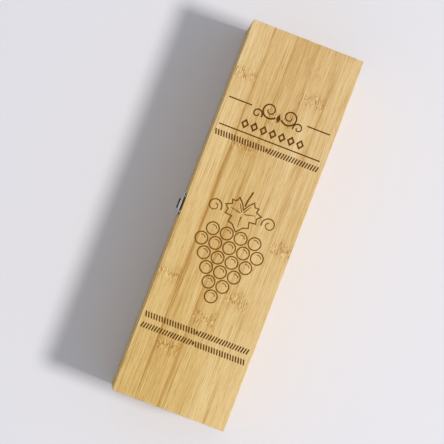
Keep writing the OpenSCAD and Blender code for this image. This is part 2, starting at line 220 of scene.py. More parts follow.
class ShaderTree:
    """The node tree of a material or a world, to which nodes are added by their values."""

    def __init__(
        self,
        owner: bpy.types.Material | bpy.types.World,
        shader: str = "Principled BSDF",
    ) -> None:
        """Start from the owner's own shader node.

        Args:
            owner: The material or world.
            shader: The name of its shader node.
        """
        owner.use_nodes = True
        self.owner = owner
        self.nodes = owner.node_tree.nodes
        self.links = owner.node_tree.links
        self.shader = self.nodes[shader]

    def feed(self, socket: bpy.types.NodeSocket, value: object) -> None:
        """Give a socket its value or its link.

        Args:
            socket: The socket.
            value: A wire to link, a colour, a vector or a number.
        """
        if isinstance(value, Wire):
            self.links.new(value.socket, socket)
        elif isinstance(value, tuple) and socket.type == "RGBA":
            socket.default_value = (*value, 1)
        else:
            socket.default_value = value

    def node(
        self,
        kind: str,
        settings: Mapping[str, object],
        inputs: Mapping[int | str, object],
        output: int | str = 0,
    ) -> Wire:
        """Add a node of any type.

        Args:
            kind: The node's type.
            settings: Its own settings, set first. "stops" are a ramp's pairs of place and colour.
            inputs: Values or wires for its sockets, by index or name.
            output: The output to return.

        Returns:
            One of the node's outputs.
        """
        made = self.nodes.new(kind)
        for name, value in settings.items():
            if name == "stops":
                self.set_stops(made.color_ramp, value)
            else:
                setattr(made, name, value)
        for name, value in inputs.items():
            self.feed(made.inputs[name], value)
        return Wire(self, made.outputs[output])

    def set_stops(self, ramp: bpy.types.ColorRamp, stops: Stops) -> None:
        """Write a ramp's stops.

        Args:
            ramp: The ramp.
            stops: Pairs of a place from 0 to 1 and three or four values, the fourth being alpha.
        """
        while len(ramp.elements) < len(stops):
            ramp.elements.new(1)
        for element, (place, values) in zip(ramp.elements, stops):
            element.position = place
            element.color = (*values, 1)[:4]

    def ramp(self, value: Wire, stops: Stops, interpolation: str = "LINEAR") -> Wire:
        """Look a value up in a ramp.

        Args:
            value: The value, from 0 to 1.
            stops: The ramp's stops.
            interpolation: How the ramp goes from one stop to the next.

        Returns:
            The colour there.
        """
        colour = self.node("ShaderNodeValToRGB", {"stops": stops}, {0: value})
        colour.socket.node.color_ramp.interpolation = interpolation
        return colour

    def mix(
        self,
        share: Wire | float,
        first: Wire | Colour,
        second: Wire | Colour,
        blend: str = "MIX",
    ) -> Wire:
        """Blend two colours.

        Args:
            share: How much of the second colour.
            first: The colour at 0.
            second: The colour at 1.
            blend: The Mix node's way of blending.

        Returns:
            The blended colour.
        """
        settings = {"data_type": "RGBA", "blend_type": blend}
        return self.node("ShaderNodeMix", settings, {0: share, 6: first, 7: second}, 2)

    def split(self, vector: Wire) -> list[Wire]:
        """Take a vector apart into its three numbers."""
        parts = self.node("ShaderNodeSeparateXYZ", {}, {0: vector}).socket.node.outputs
        return [Wire(self, part) for part in parts]

    def join(self, *parts: Wire | float) -> Wire:
        """Make a vector of three numbers."""
        return self.node("ShaderNodeCombineXYZ", {}, dict(enumerate(parts)))

    def place(self) -> list[Wire]:
        """Give the point on the object, as three numbers in millimetres."""
        metres = self.node("ShaderNodeTexCoord", {}, {}, "Object")
        settings = {"operation": "SCALE"}
        return self.split(self.node("ShaderNodeVectorMath", settings, {0: metres, "Scale": 1 / MM}))

    def noise(self, vector: Wire, detail: float, roughness: float) -> Wire:
        """Sample smooth noise that changes over about one unit of the vector.

        Args:
            vector: Where to sample it.
            detail: How many finer layers are added.
            roughness: How strong the finer layers are.

        Returns:
            Noise around 0, mostly between -0.5 and 0.5.
        """
        inputs = {"Vector": vector, "Scale": 1, "Detail": detail, "Roughness": roughness}
        return self.node("ShaderNodeTexNoise", {}, inputs, "Fac") - 0.5

    def bump(self, height: Wire, depth: float, strength: float) -> None:
        """Let a height tilt the surface.

        Args:
            height: The height wire, which changes by about 1.
            depth: How deep a height of 1 is, in millimetres.
            strength: The share of the effect that shows.
        """
        inputs = {"Strength": strength, "Distance": depth * MM, "Height": height}
        self.feed(self.shader.inputs["Normal"], self.node("ShaderNodeBump", {}, inputs))

    def set(self, **values: object) -> None:
        """Feed the shader's own sockets.

        Args:
            values: What each socket gets, by its name in small letters with _ for a blank.
        """
        for name, value in values.items():
            socket = next(s for s in self.shader.inputs if s.name.lower().replace(" ", "_") == name)
            self.feed(socket, value)


# ---------------------------------------------------------------- finishes


class Lay(Enum):
    """How a board's bamboo lies: the axes along the fibres, across the strips and through the board."""

    FLAT = (0, 1, 2)
    ON_EDGE_LENGTHWISE = (0, 2, 1)
    ON_EDGE_CROSSWISE = (1, 2, 0)


@dataclass(frozen=True)
class Strip:
    """One bamboo strip of a laminated board.

    Attributes:
        tone: How light it is, around 0.
        warmth: How golden it is, from 0 for straw to 1 for honey.
        ring: Where along the board one of its growth rings lies, in millimetres.
        fade: How much lighter it gets from the middle of the board to the high end.
        seam: How dark its low edge is, where it is glued to the strip before it.
    """

    tone: float
    warmth: float
    ring: float
    fade: float = 0
    seam: float = 0.5

    def stops(self) -> tuple[Sequence[float], Sequence[float]]:
        """Write the strip's numbers as two colours, one for each of the ramps that keep them.

        Returns:
            A colour with alpha and a plain one.
        """
        first = (RAMP_ZERO + self.tone, self.warmth, self.ring / LONGEST_RING, RAMP_ZERO + self.fade)
        return first, (self.seam, 0, 0)


class Card(NamedTuple):
    """What is known of the strip that a point lies in: the same as a Strip, as wires.

    Attributes:
        tone: How light the strip is, around 0.5.
        warmth: How golden it is.
        ring: Where one of its growth rings lies.
        fade: How much lighter it gets towards the high end, around 0.
        seam: How dark its low edge is.
    """

    tone: Wire
    warmth: Wire
    ring: Wire
    fade: Wire
    seam: Wire


class Spot(NamedTuple):
    """A point of the wood, as its own strip sees it.

    Attributes:
        along: Distance along the board.
        run: Distance along the strip, which every strip counts from another start.
        within: Distance from the strip's low edge.
        side: The same distance, bent as the fibres are.
        through: Distance through the board.
        own: A number of the strip's own.
    """

    along: Wire
    run: Wire
    within: Wire
    side: Wire
    through: Wire
    own: Wire

    @property
    def grain(self) -> tuple[Wire, Wire, Wire]:
        """The point along, across and through the fibres."""
        return self.run, self.side, self.through


@dataclass(frozen=True)
class Noise:
    """Smooth noise around 0, whose features have a size of their own along each of three axes.

    Attributes:
        sizes: About how large its features are along each axis; 1 where an axis only tells strips apart.
        strength: What it is multiplied by.
        span: Values between which it rises from 0 to 1, where it has to make patches.
        salt: A number that keeps it apart from other noise of the same sizes.
        detail: How many finer layers are added.
        roughness: How strong the finer layers are.
    """

    sizes: Point
    strength: float = 1
    span: Span | None = None
    salt: float = 0
    detail: float = 1
    roughness: float = 0.5

    def at(self, tree: ShaderTree, *place: Wire | float) -> Wire:
        """Sample the noise.

        Args:
            tree: The material's tree.
            place: Three numbers that say where.

        Returns:
            The noise, or how far into a patch the place is, times the strength.
        """
        x, y, z = (value / size for value, size in zip(place, self.sizes))
        noise = tree.noise(tree.join(x, y, z + self.salt), self.detail, self.roughness)
        if self.span:
            noise = noise.ramp_up(*self.span)
        return noise * self.strength


@dataclass(frozen=True)
class Fibres:
    """The streaks along a strip, from broad bands down to single fibre bundles.

    Attributes:
        steady: The streaks that are as strong all over the board.
        patchy: The streaks that are strong in some places only.
        patches: Where those places are.
        balance: What makes up for the pores, so that a strip keeps its tone.
    """

    # Broad bands, narrow bands, fibre bundles, cloudy spots and dark pores.
    steady: tuple[Noise, ...] = (
        Noise((300, 13, 13), 0.5),
        Noise((190, 4.6, 4.6), 0.14),
        Noise((45, 0.55, 0.55), 0.9),
        Noise((24, 2, 2), 0.4, detail=2),
        Noise((9, 0.3, 0.3), -0.4, span=(0.06, 0.26)),
    )
    patchy: Noise = Noise((110, 1.2, 1.2), 0.84)
    patches: Noise = Noise((110, 9, 9), span=(-0.12, 0.2))
    balance: float = 0.045

    def at(self, tree: ShaderTree, spot: Spot) -> Wire:
        """Add the streaks up.

        Args:
            tree: The material's tree.
            spot: The point of the wood.

        Returns:
            How much lighter the wood is than the strip's own tone.
        """
        steady = sum(streaks.at(tree, *spot.grain) for streaks in self.steady)
        patchy = self.patchy.at(tree, *spot.grain) * self.patches.at(tree, *spot.grain)
        return steady + patchy + self.balance


@dataclass(frozen=True)
class GrowthRings:
    """The marks that the cane's growth rings leave across a strip.

    Attributes:
        spacing: Distance from one ring to the next.
        stray: How a ring strays from a straight line across the strip.
        dash_near: Distances from the ring at which the short dashes start and are full.
        dark: The dark dashes.
        light: The light dashes.
        line_near: Distances from the ring at which the thin line along it starts and is full.
        line: How dark that line is.
        halo_near: Distances from the ring at which the broad shade around it starts and is full.
        halo: How dark that shade is.
    """

    spacing: float = 191
    stray: Noise = Noise((7, 1, 1), 14, salt=5.5, detail=2)
    dash_near: Span = (9, 1)
    dark: Noise = Noise((4.6, 0.95, 1), 1.35, span=(0, 0.18), detail=3, roughness=0.6)
    light: Noise = Noise((4.6, 0.95, 1), 0.75, span=(0, 0.18), salt=50, detail=3, roughness=0.6)
    line_near: Span = (1.5, 0.3)
    line: Noise = Noise((2.2, 1, 1), 0.3, span=(-0.1, 0.15), salt=1.5)
    halo_near: Span = (13, 2)
    halo: Noise = Noise((12, 1, 1), 0.2, span=(-0.12, 0.2), salt=2.5)

    def at(self, tree: ShaderTree, spot: Spot, place: Wire) -> Wire:
        """Build the marks.

        Args:
            tree: The material's tree.
            spot: The point of the wood.
            place: Where along the board a ring of this strip lies.

        Returns:
            How much lighter the marks make the wood.
        """
        across = (spot.side, spot.own, 0)
        dash = (spot.along, spot.side, spot.own)
        half = self.spacing / 2
        distance = abs((spot.along - place + half + self.stray.at(tree, *across)) % self.spacing - half)
        return (
            distance.ramp_up(*self.dash_near) * (self.light.at(tree, *dash) - self.dark.at(tree, *dash))
            - distance.ramp_up(*self.line_near) * self.line.at(tree, *across)
            - distance.ramp_up(*self.halo_near) * self.halo.at(tree, *across)
        )


@dataclass(frozen=True)
class SeamShade:
    """A darkening beside a glued seam, more on one stretch of it than on another.

    Attributes:
        near: Distances from the seam at which it starts and is full.
        strength: How dark it is.
        stretches: How the share of that strength changes along the seam.
        usual: The usual share.
        least: The least share.
    """

    near: Span
    strength: float
    stretches: Noise
    usual: float
    least: float

    def at(self, tree: ShaderTree, spot: Spot, distance: Wire) -> Wire:
        """Build the darkening.

        Args:
            tree: The material's tree.
            spot: The point of the wood.
            distance: Its distance from the seam.

        Returns:
            How much darker the wood is.
        """
        share = (self.stretches.at(tree, spot.run, spot.own, 0) + self.usual).at_least(self.least)
        return distance.ramp_up(*self.near) * share * self.strength


@dataclass(frozen=True)
class WornAndHighlitEdges:
    """Outer edges of a board that handling has rubbed pale, in patches; the paleness is also a painted
    highlight along the edges.

    Attributes:
        near: Distances from the edge at which the wear starts and is full.
        patches: The pale patches, which are both rubbed wood and painted highlight.
        paler_for_wear_and_highlight: How much lighter the wood is there, as wear and as painted highlight.
        rougher: How much rougher it is.
    """

    near: Span = (1.5, 0.3)
    patches: Noise = Noise((11, 11, 11), span=(-0.12, 0.16), detail=3)
    paler_for_wear_and_highlight: float = 0.26
    rougher: float = 0.12

    def at(self, tree: ShaderTree, place: Sequence[Wire], low: Point, size: Point) -> Wire:
        """Find the pale patches, which are partly wear and partly painted highlight.

        Args:
            tree: The material's tree.
            place: The point on the object.
            low: The board's lowest corner.
            size: The board's size along each axis.

        Returns:
            How pale the edge is, from 0 to 1.
        """
        x, y, z = (
            (value - start).at_most(start + length - value)
            for value, start, length in zip(place, low, size)
        )
        # The second smallest distance from a face is the distance from an edge.
        from_edge = x.at_most(y).at_least(x.at_least(y).at_most(z))
        return from_edge.ramp_up(*self.near) * self.patches.at(tree, *place)


@dataclass(frozen=True)
class EndGrain:
    """The sawn ends of the fibres, with the bundles as dark dots.

    Attributes:
        facing: How squarely a face cuts the fibres where end grain starts to show and where it is full.
        dots: The dots, and the share of their tint that shows.
        tint: What the wood's colour is multiplied by.
        dot_tint: The dots' own tint.
    """

    facing: Span = (0.55, 0.85)
    dots: Noise = Noise((0.42, 0.42, 1), 0.6, span=(0.02, 0.14), detail=2)
    tint: Colour = (0.74, 0.64, 0.52)
    dot_tint: Colour = (0.45, 0.33, 0.22)

    def over(self, tree: ShaderTree, spot: Spot, axis: int, face: Wire) -> Wire:
        """Colour the ends of a board.

        Args:
            tree: The material's tree.
            spot: The point of the wood.
            axis: The axis along the fibres.
            face: Colour of the wood where it isn't cut across.

        Returns:
            The colour of the wood, end grain and all.
        """
        facing = tree.split(tree.node("ShaderNodeTexCoord", {}, {}, "Normal"))[axis]
        dots = self.dots.at(tree, spot.side, spot.through, spot.own)
        ends = tree.mix(dots, self.tint, self.dot_tint)
        return tree.mix(abs(facing).ramp_up(*self.facing), face, tree.mix(1.0, face, ends, "MULTIPLY"))


@dataclass(frozen=True)
class Burn:
    """A decoration burnt into the face of a board.

    Attributes:
        face: Height of the board's untouched face.
        depth: Depth of the burnt recesses.
        reach: Half the length and half the width of the area that holds the decoration.
        margin: How softly that area ends.
        floor: Colour of the recess floor.
        edge: Colour of the wall around it: scorch, made darker still as painted shade inside the recess.
        pale_floor: Colour of the recess floor where the drawing is burnt more lightly.
        pale_edge: Colour of its wall there, scorch with painted shade as well.
        pale_zone: From where to where along the board the burning is light.
        pale_blur: How softly that zone starts and stops.
        start: Shares of the depth at which the burn starts and is full.
        stop: Shares of it at which the burn has gone, below the floor, and is still full.
        wall: Shares of it at which the wall's colour starts and is full, going up.
        streaks: How strongly the fibres show in the soot.
        soot: How much of the soot shows where there is no streak.
        rougher: How much rougher the burnt wood is.
    """

    face: float
    depth: float
    reach: Span
    margin: float = 0.5
    floor: Colour = srgb(116, 71, 0)
    edge: Colour = srgb(56, 29, 0)
    pale_floor: Colour = srgb(146, 92, 0)
    pale_edge: Colour = srgb(88, 47, 0)
    pale_zone: Span = (-50, 84)
    pale_blur: float = 1
    start: Span = (0.02, 0.2)
    stop: Span = (2, 1.5)
    wall: Span = (0.98, 0.8)
    streaks: float = 1.6
    soot: float = 0.7
    rougher: float = 0.3

    def over(
        self, tree: ShaderTree, place: Sequence[Wire], fibres: Wire, colour: Wire, rough: Wire
    ) -> tuple[Wire, Wire]:
        """Scorch the recesses of the decoration, and paint shade on their walls.

        Args:
            tree: The material's tree.
            place: The point on the object.
            fibres: The streaks, which also show in the burnt wood.
            colour: Colour of the clean wood.
            rough: Roughness of the clean wood.

        Returns:
            Colour and roughness with the decoration burnt in and painted shade on its recess walls.
        """
        x, y, z = place
        outside = (abs(x) - self.reach[0]).at_least(abs(y) - self.reach[1])
        depth = (self.face - z) / self.depth
        mask = outside.ramp_up(self.margin, 0) * depth.ramp_up(*self.start) * depth.ramp_up(*self.stop)
        low, high = self.pale_zone
        pale = x.ramp_up(low - self.pale_blur, low + self.pale_blur)
        pale = pale * x.ramp_up(high + self.pale_blur, high - self.pale_blur)
        floor = tree.mix(pale, self.floor, self.pale_floor)
        edge = tree.mix(pale, self.edge, self.pale_edge)
        # The walls get the darker colour, which is scorch with painted shade of the recess; the floor keeps
        # the lighter one.
        burnt = tree.mix(depth.ramp_up(*self.wall), floor, edge)
        share = (fibres * self.streaks + self.soot).at_least(0).at_most(1)
        burnt = tree.mix(share, edge, burnt)
        return tree.mix(mask, colour, burnt), rough + mask * self.rougher


@dataclass(frozen=True)
class Bamboo:
    """Sanded, lightly oiled bamboo, glued up from flat strips in two layers.

    Attributes:
        name: Name of the material.
        lay: How the strips lie in the board.
        origin: The board's lowest corner.
        size: The board's size along each axis.
        show_high: Whether the show face is the board's high side, through its thickness.
        strips: The strips side by side, from the low side of the board.
        seed: A number that gives each board its own fibres.
        burn: The burnt decoration, if the board has one.
        trimmed: How much of the first strip was planed off.
        strip_width: Width of a strip.
        stagger: How far the hidden layer's seams are from the show layer's, as a share of that width.
        layer_skip: How many strips further on in the list the hidden layer starts.
        strip_step: How far a strip's own number is from that of the strip before it.
        layer_step: How much further the hidden layer's own numbers are.
        bend_length: About how long a bend of the fibres is.
        bend: How strongly they bend sideways.
        fibres: The streaks along the strips.
        rings: The marks of the growth rings.
        low_seam: The broad shade at a strip's low edge.
        high_seam: The broad shade at its high edge.
        seam_line: The thin line at its low edge.
        wear_and_highlight: The outer edges, rubbed pale in patches, a paleness that is also painted
            highlight.
        ends: The sawn ends.
        golden_run: Length of board over which straw turns to honey.
        dark: Colour of the darkest wood.
        middle: Colour of the usual wood.
        light: Colour of the lightest wood.
        straw: What the colour of straw-coloured wood is multiplied by.
        honey: What the colour of golden wood is multiplied by.
        roughness: The usual roughness.
        sheen: How the roughness changes from place to place.
        shine: Strength of the reflections.
        grain: The fine grain that is felt with a finger.
        grain_depth: How deep the grain and the fibres are.
        grain_strength: The share of that depth that shows.
    """

    name: str
    lay: Lay
    origin: Point
    size: Point
    show_high: bool
    strips: tuple[Strip, ...]
    seed: float
    burn: Burn | None = None
    trimmed: float = 1.4
    strip_width: float = 21.8
    stagger: float = 0.43
    layer_skip: int = 2
    strip_step: float = 613
    layer_step: float = 347
    bend_length: float = 170
    bend: float = 1.6
    fibres: Fibres = Fibres()
    rings: GrowthRings = GrowthRings()
    low_seam: SeamShade = SeamShade((4.2, 0.2), 0.48, Noise((150, 1, 1), 3, salt=3.3), usual=0.5, least=0.1)
    high_seam: SeamShade = SeamShade((3.2, 0.2), 0.24, Noise((150, 1, 1), 3, salt=7.7), usual=0.25, least=0)
    seam_line: SeamShade = SeamShade((1, 0.2), 0.65, Noise((40, 1, 1), 1.8, salt=9.1), usual=0.5, least=0.1)
    wear_and_highlight: WornAndHighlitEdges = WornAndHighlitEdges()
    ends: EndGrain = EndGrain()
    golden_run: float = 480
    dark: Colour = srgb(181, 131, 61)
    middle: Colour = srgb(221, 187, 125)
    light: Colour = srgb(244, 219, 170)
    straw: Colour = (0.995, 0.985, 1.03)
    honey: Colour = (1.0, 0.995, 0.83)
    roughness: float = 0.58
    sheen: Noise = Noise((60, 3, 3), 0.16, detail=2)
    shine: float = 0.18
    grain: Noise = Noise((30, 0.35, 0.35), detail=3, roughness=0.6)
    grain_depth: float = 0.09
    grain_strength: float = 0.55

    def material(self) -> bpy.types.Material:
        """Build the material.

        Returns:
            The material, laid out in the object's own millimetres.
        """
        tree = ShaderTree(bpy.data.materials.new(self.name))
        place = tree.place()
        card, spot = self.find(tree, place)
        fibres = self.fibres.at(tree, spot)
        wear_and_highlight = self.wear_and_highlight.at(tree, place, self.origin, self.size)

        marks = self.rings.at(tree, spot, card.ring) - self.seams(tree, spot, card.seam)
        # The pale edges are partly wear and partly painted highlight.
        tone = card.tone + self.fading(spot, card.fade) + fibres + marks + wear_and_highlight * self.wear_and_highlight.paler_for_wear_and_highlight
        face = tree.ramp(tone, [(0, self.dark), (RAMP_ZERO, self.middle), (1, self.light)])
        tint = tree.mix(card.warmth + spot.along / self.golden_run, self.straw, self.honey)
        face = tree.mix(1.0, face, tint, "MULTIPLY")
        colour = self.ends.over(tree, spot, self.lay.value[0], face)
        rough = self.sheen.at(tree, *spot.grain) + wear_and_highlight * self.wear_and_highlight.rougher + self.roughness
        if self.burn:
            colour, rough = self.burn.over(tree, place, fibres, colour, rough)
        tree.bump(self.grain.at(tree, *spot.grain) + fibres, self.grain_depth, self.grain_strength)
        tree.set(base_color=colour, roughness=rough, specular_ior_level=self.shine)
        return tree.owner

    def find(self, tree: ShaderTree, place: Sequence[Wire]) -> tuple[Card, Spot]:
        """Find the strip that a point lies in, and where in it the point is.

        Args:
            tree: The material's tree.
            place: The point on the object.

        Returns:
            What is known of the strip, and the point as the strip sees it.
        """
        along, across, through = (place[axis] for axis in self.lay.value)
        _, low, back = (self.origin[axis] for axis in self.lay.value)
        thickness = self.size[self.lay.value[2]]
        show_face = back + thickness if self.show_high else back
        layer = math.floor(abs(through - show_face) / (thickness / 2)).at_most(1)
        shifted = across - low + self.trimmed + layer * (self.stagger * self.strip_width)
        number = math.floor(shifted / self.strip_width)
        within = shifted % self.strip_width
        own = number * self.strip_step + layer * self.layer_step + self.seed
        run = along + own
        bend = Noise((self.bend_length, 1, 1), self.bend, salt=self.seed).at(tree, run, own, 0)
        spot = Spot(along, run, within, within + bend, through, own)
        return self.card(tree, number + layer * self.layer_skip), spot

    def card(self, tree: ShaderTree, number: Wire) -> Card:
        """Look up what a strip's number says of it, kept in the stops of two ramps.

        Args:
            tree: The material's tree.
            number: The strip's number.

        Returns:
            What is known of the strip.
        """
        count = len(self.strips)
        # Half a step beyond the strip's own stop, clear of its neighbours'.
        place = (number % count + 0.5) / count
        first, second = (
            tree.ramp(place, [(step / count, values) for step, values in enumerate(row)], "CONSTANT")
            for row in zip(*(strip.stops() for strip in self.strips))
        )
        tone, warmth, ring = tree.split(first)
        fade = Wire(tree, first.socket.node.outputs["Alpha"])
        return Card(tone, warmth, ring * LONGEST_RING, fade - RAMP_ZERO, tree.split(second)[0])

    def fading(self, spot: Spot, fade: Wire) -> Wire:
        """Lighten a strip from the middle of the board to its high end, and darken it to the other.

        Args:
            spot: The point of the wood.
            fade: How much lighter the strip is at the high end.

        Returns:
            How much lighter the wood is.
        """
        axis = self.lay.value[0]
        half = self.size[axis] / 2
        return fade * (spot.along - self.origin[axis] - half) / half

    def seams(self, tree: ShaderTree, spot: Spot, share: Wire) -> Wire:
        """Darken a strip towards its glued edges.

        Args:
            tree: The material's tree.
            spot: The point of the wood.
            share: How dark the strip's low edge is.

        Returns:
            How much darker the wood is.
        """
        low = self.low_seam.at(tree, spot, spot.within) + self.seam_line.at(tree, spot, spot.within)
        return low * share + self.high_seam.at(tree, spot, self.strip_width - spot.within)


@dataclass(frozen=True)
class Metal:
    """Plated metal with fine rub marks and a little dullness.

    Attributes:
        name: Name of the material.
        bright: Colour where it is polished.
        dull: Colour where it has dulled.
        smooth: Roughness where it is polished.
        rough: Roughness where it has dulled.
        polish: The polished places.
        rubs: The rub marks, which run along the box.
        rub_roughness: How much the rub marks change the roughness.
        rub_depth: How deep they are.
        rub_strength: The share of that depth that shows.
    """

    name: str
    bright: Colour
    dull: Colour
    smooth: float
    rough: float
    polish: Noise = Noise((5, 5, 5), span=(-0.2, 0.12), detail=2)
    rubs: Noise = Noise((2.4, 0.12, 0.12), detail=2)
    rub_roughness: float = 0.1
    rub_depth: float = 0.003
    rub_strength: float = 0.4

    def material(self) -> bpy.types.Material:
        """Build the material.

        Returns:
            The material.
        """
        tree = ShaderTree(bpy.data.materials.new(self.name))
        place = tree.place()
        polish, rubs = self.polish.at(tree, *place), self.rubs.at(tree, *place)
        colour = tree.mix(polish, self.dull, self.bright)
        rough = self.rough - polish * (self.rough - self.smooth) + rubs * self.rub_roughness
        tree.bump(rubs, self.rub_depth, self.rub_strength)
        tree.set(base_color=colour, roughness=rough, metallic=1.0)
        return tree.owner


# ---------------------------------------------------------------- mesh work


def merged_copy(frame: Mapping[str, object], node: str) -> bmesh.types.BMesh:
    """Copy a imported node's mesh, with its loose triangles merged into a closed one.

    Args:
        frame: The loaded frame.
        node: The node's name.

    Returns:
        The copy, ready for more mesh work.
    """
    mesh = bmesh.new()
    mesh.from_mesh(frame["nodes"][node].data)
    bmesh.ops.remove_doubles(mesh, verts=mesh.verts, dist=NO_EDGE)
    return mesh


def whole_faces(mesh: bmesh.types.BMesh) -> None:
    """Join triangles that lie in one plane into whole faces.

    Args:
        mesh: The mesh.
    """
    bmesh.ops.dissolve_limit(
        mesh,
        angle_limit=math.radians(FLAT_ANGLE),
        use_dissolve_boundaries=False,
        verts=mesh.verts,
        edges=mesh.edges,
    )


def chamfer_long_edges(mesh: bmesh.types.BMesh, width: float, shortest: float) -> None:
    """Break the long outward edges of a board.

    Args:
        mesh: The board, with whole faces.
        width: Width of the chamfer, in millimetres.
        shortest: Length of the shortest edge that is broken, in millimetres.
    """
    edges = [
        edge
        for edge in mesh.edges
        if len(edge.link_faces) == 2
        and edge.is_convex
        and edge.calc_face_angle() > math.radians(EDGE_ANGLE)
        and edge.calc_length() > shortest * MM
    ]
    bmesh.ops.bevel(
        mesh,
        geom=edges,
        affect="EDGES",
        offset=width * MM,
        segments=1,
        profile=0.5,
        material=-1,
        clamp_overlap=True,
    )


def ease_outline(mesh: bmesh.types.BMesh, low: Vector, high: Vector, radius: float) -> None:
    """Round a mesh wherever it lies on the edges of an upright block, as sanding does.

    Args:
        mesh: The mesh, which may be one board of several that make up the block.
        low: The block's lowest corner.
        high: Its highest corner.
        radius: Radius of the rounding, in metres.
    """
    # New edges where the rounding starts and a quarter of the way round it, from both faces. With the
    # block's own edge in the middle, the rounding then has four steps.
    cuts = [radius, radius * (1 - math.tan(math.radians(90 / 4)))]
    for axis in range(3):
        normal = Vector([float(i == axis) for i in range(3)])
        for cut in cuts:
            for level in (low[axis] + cut, high[axis] - cut):
                bmesh.ops.bisect_plane(
                    mesh,
                    geom=[*mesh.verts, *mesh.edges, *mesh.faces],
                    dist=ON_PLANE,
                    plane_co=normal * level,
                    plane_no=normal,
                )
    # Each corner of the mesh moves in, from the block with sharp edges to the one with round edges.
    for vertex in mesh.verts:
        core = Vector(
            min(max(value, start + radius), stop - radius)
            for value, start, stop in zip(vertex.co, low, high)
        )
        offset = vertex.co - core
        reach = max(abs(value) for value in offset)
        if reach > ON_CORE:
            vertex.co = core + offset * (reach / offset.length)


def finished_piece(mesh: bmesh.types.BMesh, name: str, material: bpy.types.Material) -> bpy.types.Object:
    """Turn mesh work into a piece with smooth round faces and crisp edges.

    Args:
        mesh: The mesh work, which is used up.
        name: The piece's name.
        material: Its material.

    Returns:
        The piece, at the origin and unturned.
    """
    bmesh.ops.dissolve_degenerate(mesh, dist=NO_EDGE, edges=mesh.edges)
    piece = new_object(mesh, name, material)
    piece.data.shade_smooth()
    piece.data.set_sharp_from_angle(angle=math.radians(CREASE_ANGLE))
    weigh = piece.modifiers.new("flat faces stay flat", "WEIGHTED_NORMAL")
    weigh.keep_sharp = True
    return piece


def new_object(mesh: bmesh.types.BMesh, name: str, material: bpy.types.Material) -> bpy.types.Object:
    """Put mesh work into the scene as an object.

    Args:
        mesh: The mesh work, which is used up.
        name: The object's name.
        material: Its material.

    Returns:
        The object, at the origin and unturned.
    """
    data = bpy.data.meshes.new(name)
    mesh.to_mesh(data)
    mesh.free()
    data.materials.append(material)
    made = bpy.data.objects.new(name, data)
    bpy.context.scene.collection.objects.link(made)
    return made


def settle(piece: bpy.types.Object, body: str, nodes: Sequence[str]) -> None:
    """Tie a piece to the frame.

    Args:
        piece: The piece.
        body: The body it moves with.
        nodes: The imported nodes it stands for.
    """
    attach(piece, body)
    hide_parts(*nodes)
    LOG.info("%s: %d faces, moves with %s", piece.name, len(piece.data.polygons), body)


# ---------------------------------------------------------------- sub-assemblies


@dataclass(frozen=True)
class Board:
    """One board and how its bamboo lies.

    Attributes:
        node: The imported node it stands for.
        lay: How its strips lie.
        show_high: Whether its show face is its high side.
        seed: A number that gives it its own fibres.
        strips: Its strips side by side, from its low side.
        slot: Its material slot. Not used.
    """

    node: str
    lay: Lay
    show_high: bool
    seed: float
    strips: tuple[Strip, ...]
    slot: str = "bamboo_board"

    def bamboo(self, burn: Burn | None = None) -> Bamboo:
        """Fit the bamboo to the board's own place and size.

        Args:
            burn: The burnt decoration, if the board has one.

        Returns:
            The finish.
        """
        low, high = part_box(self.node)
        return Bamboo(
            name=self.node.replace("_", " ") + " bamboo",
            lay=self.lay,
            origin=tuple(low / MM),
            size=tuple((high - low) / MM),
            show_high=self.show_high,
            strips=self.strips,
            seed=self.seed,
            burn=burn,
        )


